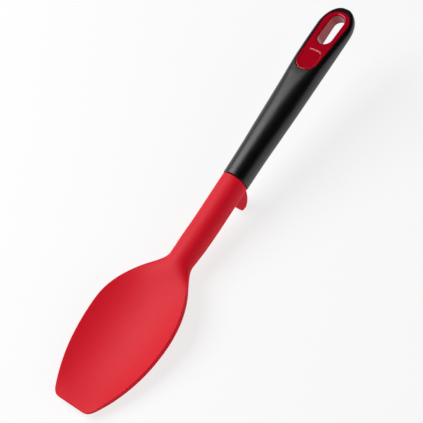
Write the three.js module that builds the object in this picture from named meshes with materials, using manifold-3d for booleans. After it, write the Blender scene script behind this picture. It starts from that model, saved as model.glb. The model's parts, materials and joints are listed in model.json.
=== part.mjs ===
// Spoon spatula: a silicone spoon head on a nylon core, a black handle and a glossy hanging insert.
// The tool is drawn with its long axis on X, butt towards +X, bowl opening towards +Z, and the joint
// between neck and handle at zero. It is then tipped so that it lies on its bowl and its rest hook.
// All lengths are in millimetres.
import * as THREE from "three";
import { mergeVertices } from "three/addons/utils/BufferGeometryUtils.js";
import Module from "manifold-3d";

const wasm = await Module();
wasm.setup();

// Gap left between pieces that seat in each other
const FIT_GAP = 0.3;

// How far a cutting shape runs past what it cuts
const OVERCUT = 2;

// Lengths from the joint to the two ends
const HEAD_LENGTH = 180;
const HANDLE_LENGTH = 140.6;

// Joint between neck and handle: its plane leans, front edge towards the butt
const JOINT_LEAN = THREE.MathUtils.degToRad(7.5);
const LEAN_REACH = 15;

// Neck sleeve
const NECK_RADIUS = 9.3;
const NECK_LENGTH = 63.5;
const NECK_RISE = 2.6;

// Spoon bowl
const WIDEST_AT = 117;
const BOWL_WIDTH = 64.8;
const BOWL_DEPTH = 9.4;
const BOWL_WALL = 4;
const RIM_HEIGHT = 14.2;
const EDGE_THICKNESS = 2.2;
const TIP_WIDTH = 34.8;
const TIP_CORNER = 5;
const TIP_HEIGHT = 19.6;
const TIP_DEPTH = 0.7;
const TIP_WALL = 2;
const FLOOR_RISE = 0.15;

// How far the bowl's outline holds its direction at the neck, on both sides of the widest place and
// before the tip, and how much wider than the tip it is there
const NECK_HOLD = 9;
const WIDEST_HOLD_BACK = 31;
const WIDEST_HOLD_FRONT = 25;
const TIP_HOLD = 20;
const TIP_SWELL = 8.5;

// Rest hook on the back of the neck
const HOOK_THICKNESS = 7.4;
const HOOK_DROP = 24.2;
const HEEL_AT = 0.5;
const TOE_AT = 10.8;
const TOE_BEVEL = 0.5;
const FOOT_LENGTH = 3.8;
const HOOK_ROOT = 14;

// Nylon core: its stem stops short of the joint, and the tang is rooted in the stem
const SLEEVE_WALL = 3.9;
const BOWL_SKIN = 1;
const CORE_MARGIN = 10;
const PADDLE_END = 158;
const PADDLE_BLUNT = 14;
const KEY_RADIUS = 3.6;
const KEY_SPREAD = 10;
const SPUR_LENGTH = 5;
const SPUR_SKIN = 2.3;
const SPUR_COVER = 5.7;
const STEM_SHORT = 1.5;
const TANG_ROOT = 4;
const TANG_WIDTH = 10.4;
const TANG_RIB = 3.2;
const TANG_LENGTH = 50;

// Handle, with a flat on the front of its butt that starts at a height and slopes down to the end
const MOUTH_RADIUS = 9.7;
const HANDLE_WIDTH = 26.3;
const BUTT_BACK = 8.6;
const BUTT_ROUND = 17.7;
const FLAT_LENGTH = 54;
const FLAT_HEIGHT = 9;
const FLAT_SLOPE = THREE.MathUtils.degToRad(7.2);

// Hanging insert, a long oval plate that widens towards the butt
const INSERT_LENGTH = 50.6;
const INSERT_NARROW = 16.8;
const INSERT_WIDE = 20;
const INSERT_MARGIN = 3.6;
const PLATE_THICKNESS = 1.8;
const PLATE_RECESS = 0.45;
const SLOT_WIDTH = 10.8;
const SLOT_LENGTH = 24.2;
const SLOT_MARGIN = 3.4;
const SLOT_FLARE = 1.2;
const EYELET_WALL = 1.4;
const PAD_LENGTH = 16;
const PAD_STEP = 0.5;
const PEG_RADIUS = 1.8;
const PEG_LENGTH = 4;

// Half the number of points round a cross-section
const RUN = 13;

// Least distance along the tool from a plain cross-section to the start of a rounded end
const LEAST_STEP = 4;

const between = THREE.MathUtils.lerp;

// A smooth value along the tool through [place, value] stations, without overshoot.
function through(stations) {
  const last = stations.length - 1;
  const slope = (i) => (stations[i + 1][1] - stations[i][1]) / (stations[i + 1][0] - stations[i][0]);
  const tangent = (i) => {
    if (i === 0) return slope(0);
    if (i === last) return slope(last - 1);
    const before = slope(i - 1);
    const after = slope(i);
    return before * after <= 0 ? 0 : (2 * before * after) / (before + after);
  };
  return (place) => {
    if (place <= stations[0][0]) return stations[0][1];
    if (place >= stations[last][0]) return stations[last][1];
    const i = stations.findIndex((station, n) => n < last && place <= stations[n + 1][0]);
    const span = stations[i + 1][0] - stations[i][0];
    const t = (place - stations[i][0]) / span;
    const h = 1 - t;
    return (
      stations[i][1] * (1 + 2 * t) * h * h +
      tangent(i) * span * t * h * h +
      stations[i + 1][1] * t * t * (3 - 2 * t) -
      tangent(i + 1) * span * t * t * h
    );
  };
}

// Corners where the side edge of a cross-section meets its upper and lower surface
function corners(s) {
  const out = (s.edge / 2) * Math.sin(s.lean);
  const up = (s.edge / 2) * Math.cos(s.lean);
  return { upperHalf: s.half - out, lowerHalf: s.half + out, upper: s.mid + up, lower: s.mid - up };
}

function upperAt(s, y) {
  const c = corners(s);
  const share = Math.max(0, 1 - Math.abs(y / c.upperHalf) ** s.fullness);
  return c.upper + (s.top - c.upper) * share ** s.topPower;
}

function lowerAt(s, y) {
  const c = corners(s);
  const share = Math.max(0, 1 - (y / c.lowerHalf) ** 2);
  return c.lower + (s.bottom - c.lower) * share ** s.bottomPower;
}

// One closed ring of a cross-section: over the top from +Y to -Y, and back underneath
function ring(place, lean, upperHalf, lowerHalf, upper, lower) {
  const points = [];
  const add = (y, z) => points.push(new THREE.Vector3(place + lean * z, y, z));
  for (let j = 0; j <= RUN; j++) {
    const y = upperHalf * Math.cos((Math.PI * j) / RUN);
    add(y, upper(y));
  }
  for (let j = RUN; j >= 0; j--) {
    const y = lowerHalf * Math.cos((Math.PI * j) / RUN);
    add(y, lower(y));
  }
  return points;
}

function sectionRing(place, lean, s) {
  const c = corners(s);
  return ring(place, lean, c.upperHalf, c.lowerHalf, (y) => upperAt(s, y), (y) => lowerAt(s, y));
}

// A closed skin over rings that run from the butt side to the tip side
function loft(rings) {
  const size = rings[0].length;
  const index = [];
  for (let r = 0; r + 1 < rings.length; r++) {
    for (let i = 0; i < size; i++) {
      const a = r * size + i;
      const b = r * size + ((i + 1) % size);
      index.push(a, a + size, b, b, a + size, b + size);
    }
  }
  const end = (rings.length - 1) * size;
  for (let j = 0; j < RUN; j++) {
    const k = size - 1 - j;
    index.push(j, j + 1, k, j + 1, k - 1, k);
    index.push(end + j, end + k, end + j + 1, end + j + 1, end + k, end + k - 1);
  }
  const geometry = new THREE.BufferGeometry();
  const places = rings.flat().flatMap((point) => point.toArray());
  geometry.setAttribute("position", new THREE.Float32BufferAttribute(places, 3));
  geometry.setIndex(index);
  return solid(geometry);
}

function solid(geometry) {
  const bare = geometry.clone();
  bare.deleteAttribute("normal");
  bare.deleteAttribute("uv");
  const merged = mergeVertices(bare, 1e-4);
  return new wasm.Manifold(
    new wasm.Mesh({
      numProp: 3,
      vertProperties: new Float32Array(merged.attributes.position.array),
      triVerts: new Uint32Array(merged.index.array),
    }),
  );
}

function piece(name, body, colour, roughness) {
  const made = body.getMesh();
  const geometry = new THREE.BufferGeometry();
  geometry.setAttribute("position", new THREE.BufferAttribute(new Float32Array(made.vertProperties), 3));
  geometry.setIndex(new THREE.BufferAttribute(new Uint32Array(made.triVerts), 1));
  geometry.computeVertexNormals();
  const mesh = new THREE.Mesh(geometry, new THREE.MeshStandardMaterial({ color: colour, roughness }));
  mesh.name = name;
  return mesh;
}

// A flat outline stood up along Z between two heights
function upright(shape, low, high) {
  const geometry = new THREE.ExtrudeGeometry(shape, { depth: high - low, bevelEnabled: false });
  return solid(geometry.translate(0, 0, low));
}

// A long oval with round ends of two radii, each end with a flat facet square to the long axis
function oval(from, to, startRadius, endRadius) {
  const facets = 9;
  const taper = Math.asin((endRadius - startRadius) / (to - endRadius - from - startRadius));
  const points = [];
  const arc = (centre, radius, middle, sweep) => {
    for (let i = 0; i <= facets; i++) {
      const angle = middle + sweep * (i / facets - 0.5);
      points.push(new THREE.Vector2(centre + radius * Math.cos(angle), radius * Math.sin(angle)));
    }
  };
  arc(to - endRadius, endRadius, 0, Math.PI + 2 * taper);
  arc(from + startRadius, startRadius, Math.PI, Math.PI - 2 * taper);
  return new THREE.Shape(points);
}

// An outline drawn in X and Z, with its thickness across Y
function fin(shape, thickness) {
  const options = { depth: thickness, bevelEnabled: false, curveSegments: 6 };
  const geometry = new THREE.ExtrudeGeometry(shape, options);
  return solid(geometry.rotateX(Math.PI / 2).translate(0, thickness / 2, 0));
}

function bar(x0, x1, width, height) {
  const geometry = new THREE.BoxGeometry(x1 - x0, width, height);
  return solid(geometry.translate((x0 + x1) / 2, 0, 0));
}

function post(x, y, radius, low, high) {
  const geometry = new THREE.CylinderGeometry(radius, radius, high - low, 20);
  return solid(geometry.rotateX(Math.PI / 2).translate(x, y, (low + high) / 2));
}

// Head: half-width from the joint to the tip
const flare = new THREE.CubicBezierCurve(
  new THREE.Vector2(NECK_LENGTH, NECK_RADIUS),
  new THREE.Vector2(NECK_LENGTH + NECK_HOLD, NECK_RADIUS),
  new THREE.Vector2(WIDEST_AT - WIDEST_HOLD_BACK, BOWL_WIDTH / 2),
  new THREE.Vector2(WIDEST_AT, BOWL_WIDTH / 2),
);
const flank = new THREE.CubicBezierCurve(
  new THREE.Vector2(WIDEST_AT, BOWL_WIDTH / 2),
  new THREE.Vector2(WIDEST_AT + WIDEST_HOLD_FRONT, BOWL_WIDTH / 2),
  new THREE.Vector2(HEAD_LENGTH - TIP_HOLD, TIP_WIDTH / 2 + TIP_SWELL),
  new THREE.Vector2(HEAD_LENGTH - TIP_CORNER, TIP_WIDTH / 2),
);
const corner = new THREE.QuadraticBezierCurve(
  new THREE.Vector2(HEAD_LENGTH - TIP_CORNER, TIP_WIDTH / 2),
  new THREE.Vector2(HEAD_LENGTH, TIP_WIDTH / 2 - TIP_CORNER * 0.6),
  new THREE.Vector2(HEAD_LENGTH, TIP_WIDTH / 2 - TIP_CORNER * 1.4),
);
const neckPlaces = [0, 0.08, LEAN_REACH / NECK_LENGTH, 0.45, 0.65, 0.82, 0.93];
const headOutline = [
  ...neckPlaces.map((share) => new THREE.Vector2(share * NECK_LENGTH, NECK_RADIUS)),
  ...flare.getPoints(11),
  ...flank.getPoints(11).slice(1),
  ...corner.getPoints(5).slice(1),
];

// Heights along the head, at shares of the flare and of the bowl beyond its widest place
const inFlare = (share) => between(NECK_LENGTH, WIDEST_AT, share);
const inBowl = (share) => between(WIDEST_AT, HEAD_LENGTH, share);
const rise = (share) => between(NECK_RISE, RIM_HEIGHT, Math.sin((share * Math.PI) / 2) ** 1.08);
const tilt = (share) => between(RIM_HEIGHT, TIP_HEIGHT, share ** 1.3);
const rimHeight = through([
  [0, 0],
  [NECK_LENGTH * 0.5, NECK_RISE * 0.05],
  [NECK_LENGTH * 0.8, NECK_RISE * 0.45],
  ...[0, 0.15, 0.35, 0.6, 0.85, 1].map((share) => [inFlare(share), rise(share)]),
  ...[0.25, 0.5, 0.75, 1].map((share) => [inBowl(share), tilt(share)]),
]);
const edge = through([
  [0, EDGE_THICKNESS / 2],
  [NECK_LENGTH, EDGE_THICKNESS / 2],
  [inFlare(0.4), EDGE_THICKNESS],
  [inBowl(0.7), EDGE_THICKNESS],
  [HEAD_LENGTH, TIP_WALL],
]);
const neckTop = (share) => NECK_RADIUS + NECK_RISE * share;
const bowlFloor = RIM_HEIGHT + EDGE_THICKNESS / 2 - BOWL_DEPTH;
const tipFloor = TIP_HEIGHT + TIP_WALL / 2 - TIP_DEPTH;
const floorHeight = through([
  [0, NECK_RADIUS],
  [NECK_LENGTH * 0.5, neckTop(0.05)],
  [NECK_LENGTH * 0.8, neckTop(0.36)],
  [NECK_LENGTH, neckTop(0.5)],
  [inFlare(0.15), between(neckTop(0.5), bowlFloor, 0.18)],
  [inFlare(0.35), between(neckTop(0.5), bowlFloor, 0.6)],
  [inFlare(0.6), between(neckTop(0.5), bowlFloor, 0.93)],
  [inFlare(0.82), bowlFloor],
  [WIDEST_AT, bowlFloor + FLOOR_RISE],
  [inBowl(0.25), between(bowlFloor, tipFloor, 0.1)],
  [inBowl(0.5), between(bowlFloor, tipFloor, 0.3)],
  [inBowl(0.75), between(bowlFloor, tipFloor, 0.6)],
  [HEAD_LENGTH, tipFloor],
]);
const wall = through([
  [0, 2 * NECK_RADIUS],
  [NECK_LENGTH * 0.7, 2 * NECK_RADIUS],
  [NECK_LENGTH, between(2 * NECK_RADIUS, BOWL_WALL, 0.1)],
  [inFlare(0.15), between(2 * NECK_RADIUS, BOWL_WALL, 0.26)],
  [inFlare(0.35), between(2 * NECK_RADIUS, BOWL_WALL, 0.56)],
  [inFlare(0.6), between(2 * NECK_RADIUS, BOWL_WALL, 0.86)],
  [inFlare(0.85), between(2 * NECK_RADIUS, BOWL_WALL, 0.98)],
  [WIDEST_AT, BOWL_WALL],
  [inBowl(0.5), between(BOWL_WALL, TIP_WALL, 0.35)],
  [inBowl(0.75), between(BOWL_WALL, TIP_WALL, 0.65)],
  [HEAD_LENGTH, TIP_WALL],
]);
const upperPower = through([[NECK_LENGTH * 0.8, 0.5], [inFlare(0.5), 1]]);
const lowerPower = through([[NECK_LENGTH * 0.8, 0.5], [inFlare(0.8), 1]]);

function headAt(place, half) {
  const s = { half, mid: rimHeight(place), edge: edge(place), top: floorHeight(place) };
  const dish = Math.max(0, s.mid + s.edge / 2 - s.top);
  s.lean = Math.atan((2 * dish) / half);
  s.bottom = s.top - wall(place);
  s.fullness = 2;
  s.topPower = upperPower(place);
  s.bottomPower = lowerPower(place);
  return s;
}

const jointLean = (place) => Math.tan(JOINT_LEAN) * Math.max(0, 1 - place / LEAN_REACH);
const headSkin = loft(
  headOutline.map((p) => sectionRing(-p.x - (p.x === 0 ? FIT_GAP : 0), jointLean(p.x), headAt(p.x, p.y))),
);

// Handle: widths and heights from the mouth to the butt
const roundFrom = HANDLE_LENGTH - BUTT_ROUND;
const flatFrom = HANDLE_LENGTH - FLAT_LENGTH;
const widening = (share) => between(MOUTH_RADIUS, HANDLE_WIDTH / 2, share);
const handleHalf = through([
  [0, MOUTH_RADIUS],
  [HANDLE_LENGTH * 0.14, widening(0.08)],
  [HANDLE_LENGTH * 0.285, widening(0.32)],
  [HANDLE_LENGTH * 0.43, widening(0.54)],
  [HANDLE_LENGTH * 0.57, widening(0.71)],
  [HANDLE_LENGTH * 0.76, widening(0.92)],
  [HANDLE_LENGTH * 0.89, widening(1)],
  [HANDLE_LENGTH, widening(1)],
]);
const crown = through([
  [0, MOUTH_RADIUS],
  [flatFrom * 0.7, between(MOUTH_RADIUS, FLAT_HEIGHT, 0.2)],
  [flatFrom * 0.92, between(MOUTH_RADIUS, FLAT_HEIGHT, 0.6)],
  [flatFrom, FLAT_HEIGHT],
]);
const fall = (place) => Math.tan(FLAT_SLOPE) * Math.max(0, place - flatFrom);
const frontHeight = (place) => crown(place) - fall(place);
const frontFullness = through([
  [flatFrom * 0.7, 2],
  [flatFrom * 0.87, 2.4],
  [flatFrom, 3.6],
  [flatFrom + FLAT_LENGTH * 0.17, 5.5],
  [flatFrom + FLAT_LENGTH * 0.4, 7],
]);
const backDepth = through([
  [0, MOUTH_RADIUS],
  [HANDLE_LENGTH * 0.4, between(MOUTH_RADIUS, BUTT_BACK, 0.5)],
  [HANDLE_LENGTH * 0.75, BUTT_BACK],
  [HANDLE_LENGTH, BUTT_BACK],
]);

function handleAt(place) {
  const turn = Math.max(0, (place - roundFrom) / BUTT_ROUND);
  const inPlan = Math.sqrt(1 - turn ** 2);
  const front = frontHeight(place) * Math.sqrt(1 - turn ** 14);
  return {
    half: handleHalf(place) * inPlan,
    mid: 0,
    edge: Math.min(1, front),
    lean: 0,
    top: front,
    bottom: -backDepth(place) * Math.sqrt(1 - turn ** 8),
    fullness: frontFullness(place),
    topPower: 0.5,
    bottomPower: 0.5,
  };
}

const gripShares = [0.33, 0.48, 0.6, 0.7, 0.79, 0.87, 0.94, 1];
const flatShares = [0.08, 0.17, 0.28, 0.4, 0.54];
const bodyPlaces = [
  ...[0, LEAN_REACH / 3, LEAN_REACH],
  ...gripShares.map((share) => flatFrom * share),
  ...flatShares.map((share) => flatFrom + FLAT_LENGTH * share),
];
const roundTurns = [0, 0.2, 0.38, 0.54, 0.68, 0.79, 0.88, 0.94, 0.98, 0.996];
const handlePlaces = [
  ...bodyPlaces.filter((place) => place < roundFrom - LEAST_STEP),
  ...roundTurns.map((turn) => roundFrom + turn * BUTT_ROUND),
];
const handleOuter = loft(
  handlePlaces
    .toReversed()
    .map((place) => sectionRing(place, jointLean(place), handleAt(place))),
);

// Rest line: from the hook's toe to the place under the bowl that touches the table with it
const restSlope = Math.min(
  ...headOutline
    .filter((p) => p.x > WIDEST_AT)
    .map((p) => {
      const s = headAt(p.x, p.y);
      const low = lowerAt(s, corners(s).lowerHalf * Math.cos((Math.PI * (RUN - 1)) / 2 / RUN));
      return (low + HOOK_DROP) / (p.x - TOE_AT);
    }),
);

// Rest hook, with a flat foot on that line and a flat face towards the bowl
const hookOutline = new THREE.Shape();
const jointBack = -FIT_GAP - Math.tan(JOINT_LEAN) * MOUTH_RADIUS;
const footHeel = new THREE.Vector2(FOOT_LENGTH - TOE_AT, -HOOK_DROP - FOOT_LENGTH * restSlope);
hookOutline.moveTo(jointBack - FIT_GAP, -NECK_RADIUS * 0.5);
hookOutline.lineTo(jointBack - FIT_GAP, -MOUTH_RADIUS - FIT_GAP);
hookOutline.lineTo(-HEEL_AT, between(-MOUTH_RADIUS, -HOOK_DROP, 0.1));
hookOutline.lineTo(-HEEL_AT, between(-MOUTH_RADIUS, -HOOK_DROP, 0.43));
hookOutline.quadraticCurveTo(
  between(-HEEL_AT, footHeel.x, 0.22),
  between(-MOUTH_RADIUS, -HOOK_DROP, 0.87),
  footHeel.x,
  footHeel.y,
);
hookOutline.lineTo(-TOE_AT, -HOOK_DROP);
hookOutline.lineTo(-TOE_AT - TOE_BEVEL, -HOOK_DROP + 2 * TOE_BEVEL);
hookOutline.lineTo(-HOOK_ROOT, -NECK_RADIUS * 0.8);
hookOutline.lineTo(-HOOK_ROOT, -NECK_RADIUS * 0.5);
hookOutline.closePath();
const hook = fin(hookOutline, HOOK_THICKNESS);

// Core inside the head, or the room for it with a gap all round
function coreHalf(place, half) {
  const blunt = Math.max(0, 1 - (PADDLE_END - place) / PADDLE_BLUNT);
  return Math.max(NECK_RADIUS - SLEEVE_WALL, half - CORE_MARGIN) * Math.sqrt(1 - 0.85 * blunt ** 2);
}
const skin = through([
  [0, SLEEVE_WALL],
  [NECK_LENGTH, SLEEVE_WALL],
  [inFlare(0.31), between(SLEEVE_WALL, BOWL_SKIN, 0.5)],
  [inFlare(0.6), BOWL_SKIN],
  [HEAD_LENGTH, BOWL_SKIN],
]);
const outlineWidth = through(headOutline.slice(0, -1).map((p) => [p.x, p.y]));
const paddleEnds = [1, 0.75, 0.5, 0.285, 0.13, 0].map((left) => PADDLE_END - left * PADDLE_BLUNT);

function coreRing(place, at, grow) {
  const half = outlineWidth(place);
  const s = headAt(place, half);
  const own = coreHalf(place, half) + grow;
  const cover = skin(place) - grow;
  return ring(at, 0, own, own, (y) => upperAt(s, y) - cover, (y) => lowerAt(s, y) + cover);
}

function coreInside(grow, mouth) {
  const last = PADDLE_END - PADDLE_BLUNT - LEAST_STEP;
  const places = headOutline.map((p) => p.x).filter((place) => place > 0 && place < last);
  const rings = places.map((place) => coreRing(place, -place, grow));
  const ends = paddleEnds.map((place) => coreRing(place, -place, grow));
  const tip = coreRing(PADDLE_END, -PADDLE_END - grow, grow);
  return loft([coreRing(0, mouth, grow), ...rings, ...ends.slice(0, -1), grow > 0 ? tip : ends.at(-1)]);
}

// Spur that stiffens the hook
function spur(grow) {
  const outline = new THREE.Shape();
  const far = -TOE_AT - grow;
  const near = -TOE_AT + SPUR_LENGTH + grow;
  const low = SPUR_COVER - HOOK_DROP - grow;
  outline.moveTo(near, 0);
  outline.lineTo(near, low);
  outline.lineTo(far, low);
  outline.lineTo(far, 0);
  outline.closePath();
  return fin(outline, HOOK_THICKNESS - 2 * SPUR_SKIN + 2 * grow);
}

// Holes in the paddle, each filled by a silicone key that ties the two faces of the bowl together
const keyPlaces = [
  [inFlare(0.85), KEY_SPREAD],
  [inFlare(0.85), -KEY_SPREAD],
  [inBowl(0.35), 0],
];

function keys(radius) {
  const made = keyPlaces.map(([place, y]) => post(-place, y, radius, -HOOK_DROP, 2 * TIP_HEIGHT));
  return made.reduce((all, key) => all.add(key));
}

// Cross-shaped tang behind the neck, or the socket for it
function tang(from, grow) {
  const width = TANG_WIDTH + 2 * grow;
  const rib = TANG_RIB + 2 * grow;
  return bar(from, TANG_LENGTH + grow, width, rib).add(bar(from, TANG_LENGTH + grow, rib, width));
}

const coreRoom = coreInside(FIT_GAP, OVERCUT).add(spur(FIT_GAP)).subtract(keys(KEY_RADIUS - FIT_GAP));
const head = headSkin.add(hook).subtract(coreRoom);
const core = coreInside(0, -STEM_SHORT)
  .add(spur(0))
  .add(tang(-TANG_ROOT, 0))
  .subtract(keys(KEY_RADIUS));

// Insert: where its plate, slot and thumb pad lie
const insertTo = HANDLE_LENGTH - INSERT_MARGIN;
const insertFrom = insertTo - INSERT_LENGTH;
const slotTo = insertTo - SLOT_MARGIN;
const slotFrom = slotTo - SLOT_LENGTH;
const slotHalf = SLOT_WIDTH / 2;
const eyeletHalf = slotHalf + EYELET_WALL;
const eyeletEnd = -BUTT_BACK * Math.sqrt(1 - (2 * eyeletHalf / HANDLE_WIDTH) ** 2);
const plateUnder = PLATE_RECESS + PLATE_THICKNESS;
const pegAt = insertFrom + INSERT_NARROW / 2;
const pegEnd = frontHeight(pegAt) - plateUnder - PEG_LENGTH;
const overFront = MOUTH_RADIUS + OVERCUT;

// Outlines of the insert, drawn from above, or the room for them with a gap all round
function plateOutline(grow) {
  return oval(insertFrom - grow, insertTo + grow, INSERT_NARROW / 2 + grow, INSERT_WIDE / 2 + grow);
}

function slotOutline(grow) {
  return oval(slotFrom - grow, slotTo + grow, slotHalf + grow, slotHalf + grow);
}

// A body drawn on level ground, laid on the sloping flat with its zero at the flat's start
function onFlat(body) {
  const turned = body.rotate([0, THREE.MathUtils.radToDeg(FLAT_SLOPE), 0]);
  return turned.translate([flatFrom, 0, FLAT_HEIGHT]);
}

// Everything that lies deeper than this under the sloping flat
function below(depth) {
  const reach = HANDLE_LENGTH;
  return onFlat(bar(-reach, reach, reach, reach).translate([0, 0, -reach / 2 - depth]));
}

// Widening mouth of the slot, from the plate's face down to the straight walls
function slotMouth() {
  const alongFlat = (place) => (place - flatFrom) / Math.cos(FLAT_SLOPE);
  const mouth = oval(alongFlat(slotFrom), alongFlat(slotTo), slotHalf, slotHalf);
  const geometry = new THREE.ExtrudeGeometry(mouth, {
    depth: OVERCUT,
    bevelThickness: SLOT_FLARE,
    bevelSize: SLOT_FLARE,
    bevelSegments: 1,
  });
  return onFlat(solid(geometry.translate(0, 0, -PLATE_RECESS)));
}

// Thumb pad, a step down into the narrow end of the plate
const padFrom = insertFrom - flatFrom;
const padCut = bar(padFrom - OVERCUT, padFrom + PAD_LENGTH, INSERT_WIDE, 2 * PAD_STEP);
const pad = padCut.translate([0, 0, -PLATE_RECESS]);

const insert = upright(plateOutline(0), eyeletEnd, overFront)
  .subtract(below(plateUnder))
  .add(upright(slotOutline(EYELET_WALL), eyeletEnd, overFront))
  .add(post(pegAt, 0, PEG_RADIUS, pegEnd, overFront))
  .intersect(below(PLATE_RECESS))
  .subtract(upright(slotOutline(0), eyeletEnd - OVERCUT, overFront))
  .subtract(slotMouth())
  .subtract(onFlat(pad));

// Handle with the socket for the tang and the seat for the insert
const handle = handleOuter
  .subtract(tang(-OVERCUT, FIT_GAP))
  .subtract(upright(plateOutline(FIT_GAP), eyeletEnd, overFront).subtract(below(plateUnder + FIT_GAP)))
  .subtract(upright(slotOutline(EYELET_WALL + FIT_GAP), -overFront, overFront))
  .subtract(post(pegAt, 0, PEG_RADIUS + FIT_GAP, pegEnd - FIT_GAP, overFront));

// The whole tool, tipped onto its bowl and hook and set down with its box centred over the origin
const tool = new THREE.Group();
tool.name = "tool";
tool.add(
  piece("silicone_head", head, 0xd83a46, 0.55),
  piece("nylon_core", core, 0x2b2a2c, 0.6),
  piece("handle_grip", handle, 0x17171a, 0.45),
  piece("hang_insert", insert, 0xa00416, 0.15),
);
tool.rotation.y = -Math.atan(restSlope);

const group = new THREE.Group();
group.name = "spoon_spatula";
group.add(tool);
group.updateMatrixWorld(true);
const box = new THREE.Box3().setFromObject(tool, true);
tool.position.set(-(box.min.x + box.max.x) / 2, 0, -box.min.z);

export default group;
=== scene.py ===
"""Spoon spatula: a silicone spoon head with a rest hook, a black handle and a glossy hanging insert.

The tool is modelled along X with its butt towards +X, its bowl opening towards +Z and the joint between
neck and handle at zero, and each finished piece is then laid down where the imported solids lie.
"""
import json
import math

import bmesh
import bpy
from bpy.props import FloatProperty, FloatVectorProperty, PointerProperty
from mathutils import Matrix, Vector
from mathutils.geometry import interpolate_bezier


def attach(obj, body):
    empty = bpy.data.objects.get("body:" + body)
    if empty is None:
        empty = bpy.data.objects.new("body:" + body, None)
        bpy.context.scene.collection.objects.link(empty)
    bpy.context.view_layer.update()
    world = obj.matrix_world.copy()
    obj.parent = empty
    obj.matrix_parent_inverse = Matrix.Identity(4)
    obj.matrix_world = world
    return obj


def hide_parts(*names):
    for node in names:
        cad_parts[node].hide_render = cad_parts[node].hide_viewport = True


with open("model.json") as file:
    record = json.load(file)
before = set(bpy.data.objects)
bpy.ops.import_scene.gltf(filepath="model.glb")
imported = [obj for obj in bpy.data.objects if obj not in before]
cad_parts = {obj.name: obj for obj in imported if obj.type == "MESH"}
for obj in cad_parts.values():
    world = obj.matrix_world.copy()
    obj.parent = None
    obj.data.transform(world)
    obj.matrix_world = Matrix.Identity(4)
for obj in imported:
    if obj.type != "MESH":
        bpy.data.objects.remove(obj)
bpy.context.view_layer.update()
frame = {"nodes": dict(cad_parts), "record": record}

bl_info = {
    "name": "Spoon spatula",
    "version": (1, 0, 0),
    "blender": (4, 5, 0),
    "location": "View3D > Sidebar > Spatula",
    "description": "Models the spoon spatula piece by piece, with its finishes and its stage",
    "category": "Object",
}

# Points on a quarter of a cross-section, and on one rounded corner of it
QUARTER_POINTS = 26
CORNER_POINTS = 4
# The least rounding of a cross-section's corner, and the most of the rim that a rounding takes
LEAST_ROUND = 0.00004
MOST_OF_RIM = 0.45
# Powers of a cross-section's curve
ELLIPSE = 0.5
PARABOLA = 1
# Steps round a half circle, a quarter circle and the small radius on an edge, and sides of a round post
HALF_STEPS = 30
QUARTER_STEPS = 12
EDGE_STEPS = 5
POST_SIDES = 40
# Steps along the neck, points along the flare and the bowl's flank, and steps round a corner of the tip
NECK_STEPS = 24
FLARE_POINTS = 40
FLANK_POINTS = 44
TIP_STEPS = 14
# How close the last plain ring of the head comes to the rounded tip
RING_GAP = 0.00005
# Rings down the hook, and steps down its back, round its corners, along its sides and round its foot
HOOK_RINGS = 60
HOOK_BACK_STEPS = 24
HOOK_CORNER_STEPS = 6
HOOK_SIDE_STEPS = 8
FOOT_STEPS = 4
# Rings along the handle and round its butt, and the part of the rounding that the last ring reaches
HANDLE_RINGS = 70
BUTT_RINGS = 36
BUTT_REACH = 0.9993
# Steps up the soft edge of the thumb pad
PAD_STEPS = 10
# How far joined shapes reach into each other, and how far a cutting shape reaches out of its piece
OVERLAP = 0.0002
OVERCUT = 0.004
# How far the rounded mouth of a cut rises through the surface that it runs out on
RUN_OUT = 0.00001
# Points closer than this are one point
MERGE_DISTANCE = 0.000002
# Edges that meet at less than this are shaded as one smooth surface
SMOOTH_ANGLE = math.radians(32)
# Size and sides of the floor, its depth under the tool, and the growth and rise of each ring of its cove
FLOOR_RADIUS = 2.6
FLOOR_SIDES = 96
FLOOR_DROP = 0.0001
FLOOR_COVE = ((1.04, 0.02), (1.03, 0.06), (1.02, 0.12), (1.005, 0.2))
# Width of the camera's frame in millimetres, and the nearest thing that it sees in metres
FRAME_WIDTH = 36
NEAREST = 0.01


def length(name, description, default):
    """A size in metres that a user can change."""
    return FloatProperty(
        name=name, description=description, default=default, min=0, precision=5, unit="LENGTH"
    )


def angle(name, description, degrees):
    """An angle that a user can change."""
    return FloatProperty(
        name=name, description=description, default=math.radians(degrees), subtype="ANGLE"
    )


def share(name, description, default):
    """A number from 0 to 1 that a user can change."""
    return FloatProperty(
        name=name, description=description, default=default, min=0, max=1, subtype="FACTOR"
    )


def power(name, description, default):
    """The power of a lamp in watts, which a user can change."""
    return FloatProperty(name=name, description=description, default=default, min=0, unit="POWER")


def colour(name, description, default):
    """A colour that a user can change."""
    return FloatVectorProperty(
        name=name, description=description, default=default, size=3, min=0, max=1, subtype="COLOR"
    )


class JointSizes(bpy.types.PropertyGroup):
    """The joint between neck and handle, and the gap between pieces that seat in each other."""

    fit_gap: length("Fit gap", "Gap left between pieces that seat in each other", 0.0003)
    lean: angle("Lean", "Lean of the joint's plane, front edge towards the butt", 7.5)
    lean_reach: length("Lean reach", "How far along each piece the lean fades out", 0.015)
    edge_round: length("Edge round", "Radius on the edges of the two pieces at the joint", 0.0007)


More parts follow.
